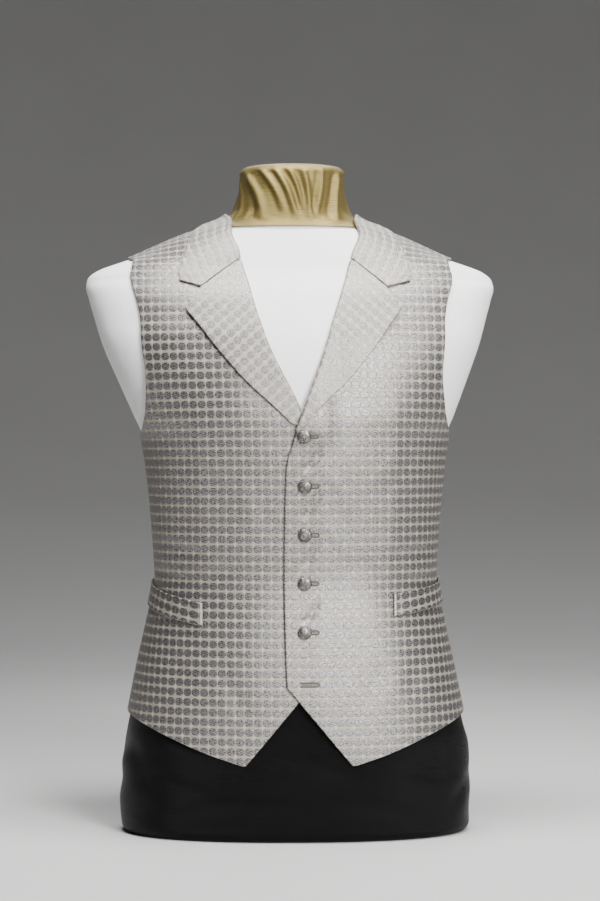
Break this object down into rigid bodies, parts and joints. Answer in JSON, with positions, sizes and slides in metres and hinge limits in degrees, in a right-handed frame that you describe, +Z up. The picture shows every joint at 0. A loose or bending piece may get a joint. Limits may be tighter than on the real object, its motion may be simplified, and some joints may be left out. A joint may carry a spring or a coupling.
{
  "type": "waistcoat on a dress form",
  "caption": "Single-breasted waistcoat with notched collar and lapels, covered buttons, pocket welts and a pointed hem, buttoned round a limbless dress form.",
  "frame": {"origin": "bottom centre of the bounding box, on the floor under the dress form", "axes": "+Z up, the buttoned front faces -Y, the wearer's left is +X"},
  "size_m": [0.4584, 0.2768, 0.74],
  "materials": {
    "brocade": "silver grey figured silk with a small round repeat",
    "back_satin": "grey satin",
    "black_satin": "black satin",
    "gold_silk": "gold silk in soft folds",
    "white_cotton": "plain white cotton jersey over padding"
  },
  "bodies": {
    "root": {"dress_form": "white_cotton", "hip_cover": "black_satin", "neck_cover": "gold_silk", "front_left": "brocade", "front_right": "brocade", "back_left": "back_satin", "back_right": "back_satin", "lapel_left": "brocade", "lapel_right": "brocade", "collar": "brocade", "pocket_welt_left": "brocade", "pocket_welt_right": "brocade", "button_1": "brocade", "button_2": "brocade", "button_3": "brocade", "button_4": "brocade", "button_5": "brocade"}
  },
  "joints": []
}
